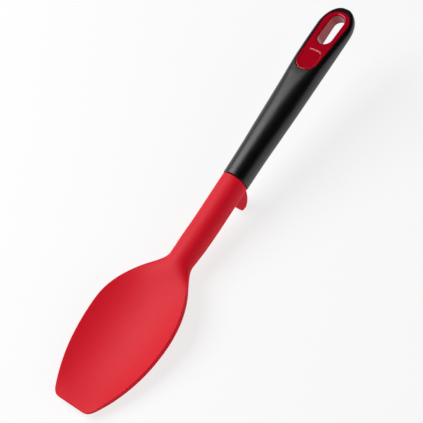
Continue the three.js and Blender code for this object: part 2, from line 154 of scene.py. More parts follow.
class HeadSizes(bpy.types.PropertyGroup):
    """The silicone head: neck, spoon bowl and tip."""

    head_length: length("Head length", "From the joint to the tip", 0.18)
    neck_radius: length("Neck radius", "Radius of the neck sleeve", 0.0093)
    neck_length: length("Neck length", "From the joint to the start of the flare", 0.0635)
    neck_rise: length("Neck rise", "How far the neck rises towards the bowl", 0.0026)
    widest_at: length("Widest at", "From the joint to the widest place of the bowl", 0.117)
    bowl_width: length("Bowl width", "Width of the bowl at its widest", 0.0646)
    bowl_depth: length("Bowl depth", "Depth of the bowl under its rim", 0.0094)
    bowl_wall: length("Bowl wall", "Thickness of the bowl's floor", 0.004)
    floor_rise: length("Floor rise", "How far the floor rises at the widest place", 0.00015)
    belly_rise: length("Belly rise", "How much the belly is flattened where it lies", 0.00018)
    rim_height: length("Rim height", "Height of the rim over the tool's axis at the widest place", 0.0142)
    edge: length("Edge", "Width of the rim's edge face", 0.0029)
    edge_soft: length("Edge softness", "Radius on the two corners of the rim", 0.0005)
    tip_width: length("Tip width", "Width of the bowl where the tip's corners start", 0.0348)
    tip_corner: length("Tip corner", "Size of the tip's two corners", 0.005)
    tip_height: length("Tip height", "Height of the tip over the tool's axis", 0.0196)
    tip_depth: length("Tip depth", "Depth of the hollow at the tip", 0.0007)
    tip_wall: length("Tip wall", "Thickness of the scraping edge", 0.002)
    tip_round: length("Tip round", "Radius on the scraping edge", 0.0007)
    neck_hold: length("Neck hold", "How far the outline holds the neck's width into the flare", 0.009)
    back_hold: length("Back hold", "How far it holds the full width towards the neck", 0.031)
    front_hold: length("Front hold", "How far it holds the full width towards the tip", 0.025)
    tip_hold: length("Tip hold", "How far from the tip the flank turns in", 0.02)
    tip_swell: length("Tip swell", "How far the flank swells out beside the tip", 0.0085)


class HookSizes(bpy.types.PropertyGroup):
    """The rest hook on the back of the neck."""

    thickness: length("Thickness", "Thickness of the hook", 0.0074)
    drop: length("Drop", "How far the toe lies below the tool's axis", 0.0242)
    heel_at: length("Heel at", "From the joint to the hook's back edge", 0.0005)
    lip: length("Lip", "How far the top of the hook's back edge reaches under the handle", 0.001)
    toe_at: length("Toe at", "From the joint to the toe", 0.0108)
    toe_bevel: length("Toe bevel", "Bevel on the front of the toe", 0.0005)
    foot_length: length("Foot length", "Length of the flat foot under the hook", 0.0038)
    root: length("Root", "From the joint to the hook's front edge at the neck", 0.014)
    edge_round: length("Edge round", "Radius on the hook's long edges near the foot", 0.001)
    foot_round: length("Foot round", "Radius round the foot, and on the long edges at the neck", 0.0004)
    fillet: length("Fillet", "Height of the fillet where the hook's sides run into the neck", 0.0054)


class CoreSizes(bpy.types.PropertyGroup):
    """The room in the head and the handle that the nylon core fills."""

    sleeve_wall: length("Sleeve wall", "Thickness of the neck sleeve over the core", 0.0039)
    bowl_skin: length("Bowl skin", "Thickness of silicone over the paddle", 0.001)
    margin: length("Margin", "Silicone edge of the bowl beyond the paddle", 0.01)
    paddle_end: length("Paddle end", "From the joint to the end of the paddle", 0.158)
    paddle_blunt: length("Paddle blunt", "Length of the rounded end of the paddle", 0.014)
    key_radius: length("Key radius", "Radius of the holes in the paddle", 0.0036)
    key_spread: length("Key spread", "Distance of the two back holes from the middle", 0.01)
    spur_length: length("Spur length", "Length of the spur in the hook", 0.005)
    spur_skin: length("Spur skin", "Thickness of silicone beside the spur", 0.0023)
    spur_cover: length("Spur cover", "Thickness of silicone under the spur", 0.0057)
    tang_width: length("Tang width", "Width of each arm of the cross-shaped tang", 0.0104)
    tang_rib: length("Tang rib", "Thickness of the tang's arms", 0.0032)
    tang_length: length("Tang length", "How far the tang reaches into the handle", 0.05)


class HandleSizes(bpy.types.PropertyGroup):
    """The black handle."""

    handle_length: length("Handle length", "From the joint to the butt", 0.1406)
    mouth_radius: length("Mouth radius", "Radius of the handle at the joint", 0.0097)
    width: length("Width", "Width of the handle near the butt", 0.0263)
    butt_back: length("Butt back", "Depth of the back of the butt below the tool's axis", 0.0086)
    butt_round: length("Butt round", "Length of the rounding at the butt", 0.0177)
    flat_length: length("Flat length", "Length of the flat on the front of the butt", 0.054)
    flat_height: length("Flat height", "Height of the flat over the tool's axis where it starts", 0.009)
    flat_slope: angle("Flat slope", "How steeply the flat falls towards the butt", 7.2)
    flat_bend: length("Flat bend", "Half the length of the soft bend where the flat starts", 0.004)
    seat_bevel: length("Seat bevel", "Bevel round the mouth of the insert's seat", 0.0004)


class InsertSizes(bpy.types.PropertyGroup):
    """The hanging insert: plate, slot, eyelet and thumb pad."""

    plate_length: length("Plate length", "Length of the oval plate", 0.0506)
    narrow: length("Narrow end", "Width of the plate's end towards the head", 0.0168)
    wide: length("Wide end", "Width of the plate's end towards the butt", 0.02)
    margin: length("Margin", "From the plate to the butt", 0.0036)
    thickness: length("Thickness", "Thickness of the plate", 0.0018)
    recess: length("Recess", "How far the plate lies under the flat of the handle", 0.00045)
    edge_round: length("Edge round", "Radius on the plate's outer edge", 0.0007)
    slot_width: length("Slot width", "Width of the hanging slot", 0.0108)
    slot_length: length("Slot length", "Length of the hanging slot", 0.0242)
    slot_margin: length("Slot margin", "From the slot to the end of the plate", 0.0034)
    slot_round: length("Slot round", "Radius on the rim of the slot", 0.0015)
    eyelet_wall: length("Eyelet wall", "Thickness of the wall that lines the slot", 0.0014)
    pad_length: length("Pad length", "Length of the thumb pad's end of the plate", 0.016)
    pad_border: length("Pad border", "Width of the border round the thumb pad", 0.0022)
    pad_depth: length("Pad depth", "Depth of the thumb pad", 0.00045)
    pad_corner: length("Pad corner", "Radius of the thumb pad's two corners", 0.0036)
    pad_step: length("Pad step", "Width of the soft step round the thumb pad", 0.0011)
    peg_radius: length("Peg radius", "Radius of the peg under the plate", 0.0018)
    peg_length: length("Peg length", "Length of the peg under the plate", 0.004)


class Finishes(bpy.types.PropertyGroup):
    """Colours and gloss of the four materials."""

    silicone: colour("Silicone", "Colour of the silicone head", (0.76, 0.001, 0.017))
    silicone_rough: share("Silicone roughness", "How matte the silicone is", 0.62)
    nylon: colour("Nylon", "Colour of the nylon core", (0.024, 0.023, 0.025))
    nylon_rough: share("Nylon roughness", "How matte the nylon is", 0.6)
    handle: colour("Handle", "Colour of the handle", (0.0005, 0.0005, 0.0006))
    handle_rough: share("Handle roughness", "How satin the handle is", 0.36)
    insert: colour("Insert", "Colour of the hanging insert", (0.42, 0.0008, 0.013))
    insert_rough: share("Insert roughness", "How matte the insert is", 0.13)


class StageSettings(bpy.types.PropertyGroup):
    """The camera, the lamps and the floor."""

    look_at: FloatVectorProperty(
        name="Look at", description="Point that the camera looks at",
        default=(-0.00412, 0.00184, 0.02132), size=3, subtype="TRANSLATION", unit="LENGTH",
    )
    azimuth: angle("Azimuth", "Turn of the camera round the tool, from the front", -33.774)
    elevation: angle("Elevation", "Height of the camera over the floor", 52.996)
    roll: angle("Roll", "Roll of the camera", -21.955)
    distance: length("Distance", "From the camera to the point that it looks at", 0.8778)
    lens: FloatProperty(
        name="Lens", description="Focal length for a 36 mm frame", default=113.62, min=1, unit="CAMERA"
    )
    key: power("Key light", "Power of the soft box behind the tool", 16.2)
    fill: power("Fill light", "Power of the wide soft light in front of the tool", 32)
    ambient: share("Ambient", "Brightness of the surroundings", 0.02)
    floor: colour("Floor", "Colour of the floor", (0.96, 0.96, 0.96))
    glow: share("Floor glow", "Share of plain white that the floor shows under its shadow", 0.77)


class Spatula(bpy.types.PropertyGroup):
    """Everything that a user can change."""

    joint: PointerProperty(type=JointSizes)
    head: PointerProperty(type=HeadSizes)
    hook: PointerProperty(type=HookSizes)
    core: PointerProperty(type=CoreSizes)
    handle: PointerProperty(type=HandleSizes)
    insert: PointerProperty(type=InsertSizes)
    finish: PointerProperty(type=Finishes)
    stage: PointerProperty(type=StageSettings)


# Curves and cross-sections

def blend(low, high, part):
    """The value a part of the way from low to high."""
    return low + (high - low) * part


def limit(value):
    """The value, kept from 0 to 1."""
    return min(1.0, max(0.0, value))


def ease(value):
    """A soft step from 0 to 1."""
    value = limit(value)
    return value * value * (3 - 2 * value)


def through(stations):
    """A smooth value along the tool through (place, value) stations, without overshoot."""
    last = len(stations) - 1

    def slope(i):
        """How steeply the value changes after a station."""
        return (stations[i + 1][1] - stations[i][1]) / (stations[i + 1][0] - stations[i][0])

    def tangent(i):
        """How steeply the smooth value changes at a station."""
        if i == 0:
            return slope(0)
        if i == last:
            return slope(last - 1)
        before = slope(i - 1)
        after = slope(i)
        return 0 if before * after <= 0 else 2 * before * after / (before + after)

    def value(place):
        """The smooth value at a place."""
        if place <= stations[0][0]:
            return stations[0][1]
        if place >= stations[last][0]:
            return stations[last][1]
        i = next(n for n in range(last) if place <= stations[n + 1][0])
        span = stations[i + 1][0] - stations[i][0]
        t = (place - stations[i][0]) / span
        h = 1 - t
        start = stations[i][1] * (1 + 2 * t) * h * h + tangent(i) * span * t * h * h
        end = stations[i + 1][1] * t * t * (3 - 2 * t) - tangent(i + 1) * span * t * t * h
        return start + end

    return value


def stretch(place, start, end, shares):
    """Stations of a value from start to end, for (part of the way, share of the change) pairs."""
    return [(place(part), blend(start, end, change)) for part, change in shares]


def along(points, height):
    """Where a line of (x, z) points that runs downwards passes a height."""
    for (x0, z0), (x1, z1) in zip(points, points[1:]):
        if z0 >= height >= z1 and z0 > z1:
            return blend(x0, x1, (z0 - height) / (z0 - z1))
    return points[0][0] if height > points[0][1] else points[-1][0]


def soft_corner(start, corner, end, count):
    """Points that round a corner off, from a place before it to a place after it, both included."""
    handle_1 = start.lerp(corner, 2 / 3)
    handle_2 = end.lerp(corner, 2 / 3)
    return interpolate_bezier(start, handle_1, handle_2, end, count + 1)


class Section:
    """A cross-section of the tool: half its width, the rim at its sides, its top and its bottom."""

    def __init__(self, half, mid, edge, lean, top, bottom, top_power, bottom_power, fullness=2):
        out = edge / 2 * math.sin(lean)
        up = edge / 2 * math.cos(lean)
        self.upper_corner = Vector((half - out, mid + up))
        self.lower_corner = Vector((half + out, mid - up))
        self.top = top
        self.bottom = bottom
        self.top_power = top_power
        self.bottom_power = bottom_power
        self.fullness = fullness

    def upper_at(self, y):
        """Height of the upper surface at y."""
        part = max(0.0, 1 - abs(y / self.upper_corner.x) ** self.fullness)
        return self.upper_corner.y + (self.top - self.upper_corner.y) * part ** self.top_power

    def lower_at(self, y):
        """Height of the lower surface at y."""
        part = max(0.0, 1 - (y / self.lower_corner.x) ** 2)
        return self.lower_corner.y + (self.bottom - self.lower_corner.y) * part ** self.bottom_power

    def ring(self, soft):
        """Points (y, z) round the section from the middle of its top, with rounded rim corners."""
        upper_soft = max(LEAST_ROUND, soft * limit(2 * self.top_power - 1))
        lower_soft = max(LEAST_ROUND, soft * limit(2 * self.bottom_power - 1))
        rim = self.lower_corner - self.upper_corner
        upper_stop = self.upper_corner + rim * min(MOST_OF_RIM, upper_soft / rim.length)
        lower_stop = self.lower_corner - rim * min(MOST_OF_RIM, lower_soft / rim.length)
        outs = [math.sin(math.pi / 2 * i / (QUARTER_POINTS - 1)) for i in range(QUARTER_POINTS)]
        above = [(self.upper_corner.x - upper_soft) * out for out in outs]
        below = [(self.lower_corner.x - lower_soft) * out for out in outs]
        side = [Vector((y, self.upper_at(y))) for y in above]
        side += soft_corner(side[-1], self.upper_corner, upper_stop, CORNER_POINTS)[1:]
        under = [Vector((y, self.lower_at(y))) for y in below]
        side += soft_corner(lower_stop, self.lower_corner, under[-1], CORNER_POINTS)[:-1]
        side += reversed(under)
        return side + [Vector((-point.x, point.y)) for point in reversed(side[1:-1])]


def inset(points, depth):
    """A closed line of points that runs clockwise, moved inwards by a depth."""
    moved = []
    for before, point, after in zip(points[-1:] + points[:-1], points, points[1:] + points[:1]):
        way = after - before
        moved.append(point + Vector((way.y, -way.x)).normalized() * depth)
    return moved


def round_over(radius, steps):
    """Steps (back, depth) round a quarter circle, from the flat end of a piece to its full width."""
    turns = [math.pi / 2 * i / steps for i in range(steps + 1)]
    return [(radius * (1 - math.cos(turn)), radius * (1 - math.sin(turn))) for turn in turns]


def arc(x, y, radius, start, end, steps):
    """Points (x, y) round a part of a circle."""
    turns = [blend(start, end, i / steps) for i in range(steps + 1)]
    return [(x + radius * math.cos(turn), y + radius * math.sin(turn)) for turn in turns]


def oval(start, end, start_radius, end_radius, grow=0.0):
    """A long oval with round ends of two radii, as (x, y) points."""
    first = start + start_radius
    last = end - end_radius
    wide = math.pi / 2 + math.asin((end_radius - start_radius) / (last - first))
    far = arc(last, 0, end_radius + grow, -wide, wide, HALF_STEPS)
    return far + arc(first, 0, start_radius + grow, wide, 2 * math.pi - wide, HALF_STEPS)


# Modelling tools

def select_only(piece):
    """Makes a piece the only one selected, and the active one."""
    bpy.ops.object.select_all(action="DESELECT")
    piece.select_set(True)
    bpy.context.view_layer.objects.active = piece


def loft(name, rings):
    """A closed skin: a disc that is extruded ring by ring, each ring shaped to its cross-section."""
    bpy.ops.object.select_all(action="DESELECT")
    bpy.ops.mesh.primitive_circle_add(vertices=len(rings[0]), fill_type="NGON", enter_editmode=True)
    piece = bpy.context.object
    piece.name = name
    shape = bmesh.from_edit_mesh(piece.data)
    turn = shape.verts.layers.int.new("turn")
    for number, vertex in enumerate(shape.verts):
        vertex[turn] = number
        vertex.co = rings[0][number]
    for ring in rings[1:]:
        bmesh.update_edit_mesh(piece.data)
        bpy.ops.mesh.extrude_region_move()
        shape = bmesh.from_edit_mesh(piece.data)
        turn = shape.verts.layers.int["turn"]
        for vertex in shape.verts:
            if vertex.select:
                vertex.co = ring[vertex[turn]]
    bmesh.update_edit_mesh(piece.data)
    bpy.ops.mesh.select_all(action="SELECT")
    bpy.ops.mesh.normals_make_consistent(inside=False)
    bpy.ops.object.mode_set(mode="OBJECT")
    piece.data.attributes.remove(piece.data.attributes["turn"])
    return piece


def bar(name, low, high):
    """A box between two corners."""
    bpy.ops.object.select_all(action="DESELECT")
    bpy.ops.mesh.primitive_cube_add(size=1, enter_editmode=True)
    piece = bpy.context.object
    piece.name = name
    bpy.ops.transform.resize(value=tuple(Vector(high) - Vector(low)))
    bpy.ops.transform.translate(value=tuple((Vector(high) + Vector(low)) / 2))
    bpy.ops.object.mode_set(mode="OBJECT")
    return piece


def post(name, x, y, radius, low, high):
    """An upright round post."""
    bpy.ops.object.select_all(action="DESELECT")
    bpy.ops.mesh.primitive_cylinder_add(
        vertices=POST_SIDES, radius=radius, depth=high - low, enter_editmode=True
    )
    piece = bpy.context.object
    piece.name = name
    bpy.ops.transform.translate(value=(x, y, (low + high) / 2))
    bpy.ops.object.mode_set(mode="OBJECT")
    return piece


def combine(piece, other, operation):
    """Joins a second solid to a piece, or cuts the piece with it, and removes that solid."""
    select_only(piece)
    bpy.ops.object.modifier_add(type="BOOLEAN")
    modifier = piece.modifiers[-1]
    modifier.object = other
    modifier.operation = operation
    modifier.solver = "EXACT"
    bpy.ops.object.modifier_apply(modifier=modifier.name)
    bpy.data.objects.remove(other, do_unlink=True)
    if not piece.data.polygons:
        raise RuntimeError(f"nothing is left of {piece.name} after {operation}")


def foot_ends(tool, slope):
    """Toe and heel of the hook's flat foot, as (x, z), for the slope at which the tool lies."""
    toe = Vector((-tool.hook.toe_at, -tool.hook.drop))
    heel = toe + Vector((tool.hook.foot_length, tool.hook.foot_length * slope))
    return toe, heel


def rest_pose(tool):
    """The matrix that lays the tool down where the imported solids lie, from its slot and its foot."""
    mounts = {mount["name"]: mount for mount in frame["record"]["mounts"]}
    forward = -Vector(mounts["hang_slot_end"]["axis"]).normalized()
    upward = forward.cross(Vector((0, 1, 0)))
    turned = Matrix((forward, Vector((0, 1, 0)), upward)).transposed()
    toe, heel = foot_ends(tool, -forward.z / forward.x)
    middle = (toe + heel) / 2
    place = Vector(mounts["rest_foot"]["pos_m"]) - turned @ Vector((middle.x, 0, middle.y))
    return Matrix.Translation(place) @ turned.to_4x4()


def finish_piece(piece, tool, node, material):
    """Lays a piece down at rest, cleans, shades and paints it, and lets it stand for its node."""
    select_only(piece)
    piece.matrix_world = rest_pose(tool)
    bpy.ops.object.transform_apply(location=True, rotation=True, scale=True)
    bpy.ops.object.mode_set(mode="EDIT")
    bpy.ops.mesh.select_all(action="SELECT")
    bpy.ops.mesh.remove_doubles(threshold=MERGE_DISTANCE)
    bpy.ops.mesh.dissolve_degenerate(threshold=MERGE_DISTANCE)
    bpy.ops.object.mode_set(mode="OBJECT")
    bpy.ops.object.shade_smooth_by_angle(angle=SMOOTH_ANGLE)
    bpy.ops.object.modifier_add(type="WEIGHTED_NORMAL")
    modifier = piece.modifiers[-1]
    modifier.weight = 100
    modifier.keep_sharp = True
    bpy.ops.object.modifier_apply(modifier=modifier.name)
    piece.data.materials.clear()
    piece.data.materials.append(material)
    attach(piece, "root")
    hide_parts(node)


# Forms of the pieces

def lean_at(joint, place):
    """How far a ring leans at a place near the joint."""
    return math.tan(joint.lean) * max(0.0, 1 - place / joint.lean_reach)


class HeadForm:
    """Widths, heights and walls along the head, from the joint to the tip."""

    # How the rim rises along the flare, and how it tilts up along the bowl
    RISE_POWER = 1.08
    TILT_POWER = 1.3
    # Where a corner of the tip bends and where it ends, in sizes of that corner
    CORNER_BEND = 0.6
    CORNER_END = 1.4

    def __init__(self, tool):
        self.joint = tool.joint
        self.sizes = tool.head
        size = self.sizes
        self.outline = self.make_outline()
        neck = size.neck_radius
        neck_end = neck + size.neck_rise / 2
        bowl_floor = size.rim_height + size.edge / 2 - size.bowl_depth
        tip_floor = size.tip_height + size.tip_wall / 2 - size.tip_depth
        parts = (0, 0.15, 0.35, 0.6, 0.85, 1)
        rises = [(part, math.sin(part * math.pi / 2) ** self.RISE_POWER) for part in parts]
        tilts = [(part, part ** self.TILT_POWER) for part in (0.25, 0.5, 0.75, 1)]
        self.rim = through(
            stretch(self.in_neck, 0, size.neck_rise, ((0, 0), (0.5, 0.05), (0.8, 0.45)))
            + stretch(self.in_flare, size.neck_rise, size.rim_height, rises)
            + stretch(self.in_bowl, size.rim_height, size.tip_height, tilts)
        )
        self.edge = through([
            (0, size.edge / 2),
            (size.neck_length, size.edge / 2),
            (self.in_flare(0.4), size.edge),
            (self.in_bowl(0.7), size.edge),
            (size.head_length, size.tip_wall),
        ])
        self.floor = through(
            stretch(self.in_neck, neck, neck_end, ((0, 0), (0.5, 0.1), (0.8, 0.72), (1, 1)))
            + stretch(self.in_flare, neck_end, bowl_floor, (
                (0.15, 0.18), (0.35, 0.6), (0.6, 0.93), (0.82, 1),
            ))
            + [(size.widest_at, bowl_floor + size.floor_rise)]
            + stretch(self.in_bowl, bowl_floor, tip_floor, ((0.25, 0.1), (0.5, 0.3), (0.75, 0.6), (1, 1)))
        )
        self.wall = through(
            [(0, 2 * neck), (self.in_neck(0.7), 2 * neck)]
            + stretch(self.in_flare, 2 * neck, size.bowl_wall, (
                (0, 0.1), (0.15, 0.26), (0.35, 0.56), (0.6, 0.86), (0.85, 0.98), (1, 1),
            ))
            + stretch(self.in_bowl, size.bowl_wall, size.tip_wall, ((0.5, 0.35), (0.75, 0.65), (1, 1)))
        )
        self.upper_power = through([(self.in_neck(0.8), ELLIPSE), (self.in_flare(0.5), PARABOLA)])
        self.lower_power = through([(self.in_neck(0.8), ELLIPSE), (self.in_flare(0.8), PARABOLA)])

    def in_neck(self, part):
        """A place a part of the way along the neck."""
        return self.sizes.neck_length * part

    def in_flare(self, part):
        """A place a part of the way along the flare."""
        return blend(self.sizes.neck_length, self.sizes.widest_at, part)

    def in_bowl(self, part):
        """A place a part of the way from the widest place to the tip."""
        return blend(self.sizes.widest_at, self.sizes.head_length, part)

    def make_outline(self):
        """Half-widths as (place, half) points from the joint to the tip."""
        size = self.sizes
        half_tip = size.tip_width / 2
        neck = [Vector((self.in_neck(i / NECK_STEPS), size.neck_radius)) for i in range(NECK_STEPS)]
        start = Vector((size.neck_length, size.neck_radius))
        widest = Vector((size.widest_at, size.bowl_width / 2))
        shoulder = Vector((size.head_length - size.tip_corner, half_tip))
        bend = Vector((size.head_length, half_tip - size.tip_corner * self.CORNER_BEND))
        end = Vector((size.head_length, half_tip - size.tip_corner * self.CORNER_END))
        hold = start + Vector((size.neck_hold, 0))
        before = widest - Vector((size.back_hold, 0))
        after = widest + Vector((size.front_hold, 0))
        lead = Vector((size.head_length - size.tip_hold, half_tip + size.tip_swell))
        flare = interpolate_bezier(start, hold, before, widest, FLARE_POINTS)
        flank = interpolate_bezier(widest, after, lead, shoulder, FLANK_POINTS)
        corner = soft_corner(shoulder, bend, end, TIP_STEPS)
        return neck + flare + flank[1:] + corner[1:]

    def half_at(self, place):
        """Half-width of the head at a place."""
        for before, after in zip(self.outline, self.outline[1:]):
            if place <= after.x:
                return blend(before.y, after.y, (place - before.x) / (after.x - before.x))
        return self.outline[-1].y

    def section(self, place, half):
        """The cross-section at a place."""
        mid = self.rim(place)
        edge = self.edge(place)
        top = self.floor(place)
        dish = max(0.0, mid + edge / 2 - top)
        lean = math.atan(2 * dish / half)
        lower_power = self.lower_power(place)
        bottom = top - self.wall(place) + self.sizes.belly_rise * (2 * lower_power - 1)
        return Section(half, mid, edge, lean, top, bottom, self.upper_power(place), lower_power)

    def ring(self, place, half, depth=0.0):
        """Points round the head at a place, moved inwards by a depth."""
        points = self.section(place, half).ring(self.sizes.edge_soft)
        if depth:
            points = inset(points, depth)
        lean = lean_at(self.joint, place)
        return [Vector((lean * z - place, y, z)) for y, z in points]

    def rings(self):
        """All rings from the joint, with its rounded edge, to the rounded scraping edge."""
        gap = self.joint.fit_gap
        radius = self.joint.edge_round
        tip = self.sizes.tip_round
        end = self.sizes.head_length
        half = self.sizes.neck_radius
        made = [self.ring(gap + back, half, depth) for back, depth in round_over(radius, EDGE_STEPS)]
        for point in self.outline:
            if gap + radius < point.x < end - tip - RING_GAP:
                made.append(self.ring(point.x, point.y))
        for back, depth in reversed(round_over(tip, EDGE_STEPS)):
            made.append(self.ring(end - back, self.half_at(end - back), depth))
        return made


def core_room(tool):
    """The room in the head for the nylon core, with its keys and the spur in the hook."""
    form = HeadForm(tool)
    core = tool.core
    gap = tool.joint.fit_gap
    stem = tool.head.neck_radius - core.sleeve_wall
    narrowing = 0.85
    skin = through([
        (0, core.sleeve_wall),
        (tool.head.neck_length, core.sleeve_wall),
        (form.in_flare(0.31), blend(core.sleeve_wall, core.bowl_skin, 0.5)),
        (form.in_flare(0.6), core.bowl_skin),
        (tool.head.head_length, core.bowl_skin),
    ])

    def ring(place, at):
        """Points round the room as it is at one place, laid at an x of their own."""
        half = form.half_at(place)
        section = form.section(place, half)
        blunt = max(0.0, (place - core.paddle_end + core.paddle_blunt) / core.paddle_blunt)
        own = max(stem, half - core.margin) * math.sqrt(1 - narrowing * blunt ** 2) + gap
        cover = skin(place) - gap
        outs = [own * math.sin(math.pi / 2 * i / QUARTER_STEPS) for i in range(QUARTER_STEPS + 1)]
        side = [Vector((at, y, section.upper_at(y) - cover)) for y in outs]
        side += [Vector((at, y, section.lower_at(y) + cover)) for y in reversed(outs)]
        return side + [Vector((point.x, -point.y, point.z)) for point in reversed(side[1:-1])]

    first = 0.002
    last = core.paddle_end - 0.0005
    places = [point.x for point in form.outline if first < point.x < last][::2]
    rings = [ring(0, OVERCUT)] + [ring(place, -place) for place in places]
    rings += [ring(core.paddle_end, -core.paddle_end), ring(core.paddle_end, -core.paddle_end - gap)]
    room = loft("core_room", rings)
    wide = tool.hook.thickness / 2 - core.spur_skin + gap
    far = -tool.hook.toe_at - gap
    near = -tool.hook.toe_at + core.spur_length + gap
    spur = bar("spur_room", (far, -wide, core.spur_cover - tool.hook.drop - gap), (near, wide, 0))
    combine(room, spur, "UNION")
    back = form.in_flare(0.85)
    front = form.in_bowl(0.35)
    for x, y in ((back, core.key_spread), (back, -core.key_spread), (front, 0)):
        key = post("key", -x, y, core.key_radius - gap, -tool.hook.drop, 2 * tool.head.tip_height)
        combine(room, key, "DIFFERENCE")
    return room


def hook_rings(tool):
    """Rings of the rest hook, from inside the neck down to its foot."""
    hook = tool.hook
    neck = tool.head.neck_radius
    mouth = tool.handle.mouth_radius
    gap = tool.joint.fit_gap
    toe, heel = foot_ends(tool, math.tan(rest_pose(tool).to_euler().y))
    joint_back = -gap - math.tan(tool.joint.lean) * (mouth + gap)
    top = -neck * 0.5
    belly = Vector((-hook.heel_at, blend(-mouth, -hook.drop, 0.43)))
    pull = Vector((blend(-hook.heel_at, heel.x, 0.22), blend(-mouth, -hook.drop, 0.87)))
    back = [(joint_back, top), (joint_back, -mouth - gap), (hook.lip, -mouth - 4 * gap)]
    back += [tuple(point) for point in soft_corner(belly, pull, heel, HOOK_BACK_STEPS)]
    front = [(-hook.root, top), (-hook.root, -neck * 0.8)]
    front += [(-hook.toe_at - hook.toe_bevel, -hook.drop + 2 * hook.toe_bevel), tuple(toe)]
    half = hook.thickness / 2
    fillet_top = -neck * 0.72
    fillet_end = fillet_top - hook.fillet
    fillet_half = math.sqrt(neck ** 2 - fillet_top ** 2)

    def width(height):
        """Half-thickness of the hook near the joint, where its sides run into the neck."""
        part = limit((height - fillet_end) / (fillet_top - fillet_end))
        return half + (fillet_half - half) * part ** 2

    def ring(part, lift=0.0, depth=0.0):
        """Points round the hook a part of the way down, lifted and moved inwards for its foot."""
        low = blend(top, heel.y, part)
        near = Vector((along(back, low), low))
        low = blend(top, toe.y, part)
        far = Vector((along(front, low), low))
        way = (near - far).normalized()
        span = (near - far).length
        corner = blend(hook.foot_round, hook.edge_round, ease((part - 0.3) / 0.5))
        first = depth + corner
        last = span - depth - corner
        between = [i / HOOK_SIDE_STEPS for i in range(1, HOOK_SIDE_STEPS)]
        points = []
        for side, start, end, turn in ((1, first, last, math.pi), (-1, last, first, 0)):
            y = side * (half - depth - corner)
            points += arc(start, y, corner, turn, turn - math.pi / 2, HOOK_CORNER_STEPS)
            points += [(blend(start, end, step), side * (half - depth)) for step in between]
            points += arc(end, y, corner, turn - math.pi / 2, turn - math.pi, HOOK_CORNER_STEPS)
        made = []
        for s, y in points:
            place = far + way * s
            widen = 1 + (width(place.y) / half - 1) * ease((s / span - 0.1) / 0.5)
            made.append(Vector((place.x - way.y * lift, y * widen, place.y + way.x * lift)))
        return made

    rings = [ring(i / HOOK_RINGS) for i in range(HOOK_RINGS)]
    foot = reversed(round_over(hook.foot_round, FOOT_STEPS))
    return rings + [ring(1, lift, depth) for lift, depth in foot]


class HandleForm:
    """Widths and heights along the handle, from the mouth to the butt."""

    # How squarely the front and the back turn down at the butt
    FRONT_TURN = 12
    BACK_TURN = 8
    # Greatest height of the straight stretch at the handle's sides
    SIDE_HEIGHT = 0.001

    def __init__(self, tool):
        self.joint = tool.joint
        self.sizes = tool.handle
        size = self.sizes
        mouth = size.mouth_radius
        self.round_from = size.handle_length - size.butt_round
        self.flat_from = size.handle_length - size.flat_length
        self.half = through(stretch(self.in_handle, mouth, size.width / 2, (
            (0, 0), (0.14, 0.08), (0.285, 0.32), (0.43, 0.54), (0.57, 0.71), (0.76, 0.92),
            (0.89, 1), (1, 1),
        )))
        self.crown = through(stretch(self.before_flat, mouth, size.flat_height, (
            (0, 0), (0.7, 0.2), (0.92, 0.6), (1, 1),
        )))
        self.fullness = through([
            (self.before_flat(0.7), 2),
            (self.before_flat(0.87), 2.4),
            (self.flat_from, 3.6),
            (self.flat_from + size.flat_length * 0.17, 5.5),
            (self.flat_from + size.flat_length * 0.4, 7),
        ])
        self.back = through(stretch(self.in_handle, mouth, size.butt_back, (
            (0, 0), (0.4, 0.5), (0.75, 1), (1, 1),
        )))

    def in_handle(self, part):
        """A place a part of the way along the handle."""
        return self.sizes.handle_length * part

    def before_flat(self, part):
        """A place a part of the way to the flat."""
        return self.flat_from * part

    def front(self, place):
        """Height of the front along the handle's middle, with a soft bend where the flat starts."""
        bend = self.sizes.flat_bend
        past = place - self.flat_from
        rounded = (past + bend) ** 2 / (4 * bend) if abs(past) < bend else max(0.0, past)
        return self.crown(place) - math.tan(self.sizes.flat_slope) * rounded

    def section(self, place):
        """The cross-section at a place."""
        turn = max(0.0, (place - self.round_from) / self.sizes.butt_round)
        half = self.half(place) * math.sqrt(1 - turn ** 2)
        top = self.front(place) * math.sqrt(1 - turn ** self.FRONT_TURN)
        bottom = -self.back(place) * math.sqrt(1 - turn ** self.BACK_TURN)
        side = min(self.SIDE_HEIGHT, top)
        return Section(half, 0, side, 0, top, bottom, ELLIPSE, ELLIPSE, self.fullness(place))

    def ring(self, place, depth=0.0):
        """Points round the handle at a place, moved inwards by a depth."""
        points = self.section(place).ring(0)
        if depth:
            points = inset(points, depth)
        lean = lean_at(self.joint, place)
        return [Vector((place + lean * z, y, z)) for y, z in points]

    def rings(self):
        """All rings from the mouth, with its rounded edge, to the butt."""
        radius = self.joint.edge_round
        made = [self.ring(back, depth) for back, depth in round_over(radius, EDGE_STEPS)]
        straight = self.round_from - radius
        made += [self.ring(radius + straight * i / HANDLE_RINGS) for i in range(1, HANDLE_RINGS)]
        turns = [math.sin(math.pi / 2 * i / BUTT_RINGS) for i in range(BUTT_RINGS)] + [BUTT_REACH]
        return made + [self.ring(self.round_from + self.sizes.butt_round * turn) for turn in turns]


